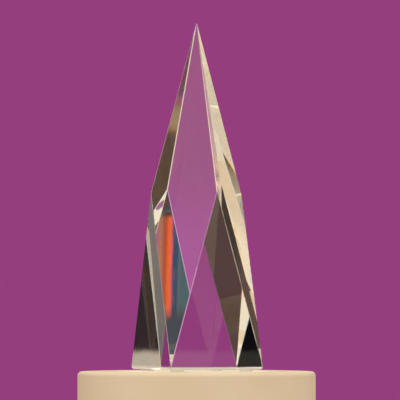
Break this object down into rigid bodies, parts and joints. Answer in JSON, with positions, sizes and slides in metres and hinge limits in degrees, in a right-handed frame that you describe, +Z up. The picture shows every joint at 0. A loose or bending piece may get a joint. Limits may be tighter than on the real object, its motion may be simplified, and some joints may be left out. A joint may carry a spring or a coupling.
{
  "type": "crystal obelisk award",
  "caption": "Tall clear crystal obelisk award, a square column ground to a point by long kite-shaped facets, on clear bumper feet.",
  "frame": {"origin": "on the surface the award stands on, straight below its tip", "axes": "+Z up; the four upright sides face +X, -X, +Y and -Y, and the front is -Y"},
  "size_m": [0.072, 0.072, 0.2525],
  "materials": {
    "crystal": "polished clear optical crystal",
    "bumper": "clear soft polyurethane, slightly cloudy"
  },
  "bodies": {
    "root": {"crystal_obelisk": "crystal", "bumper_front_left": "bumper", "bumper_front_right": "bumper", "bumper_rear_right": "bumper", "bumper_rear_left": "bumper"}
  },
  "joints": []
}
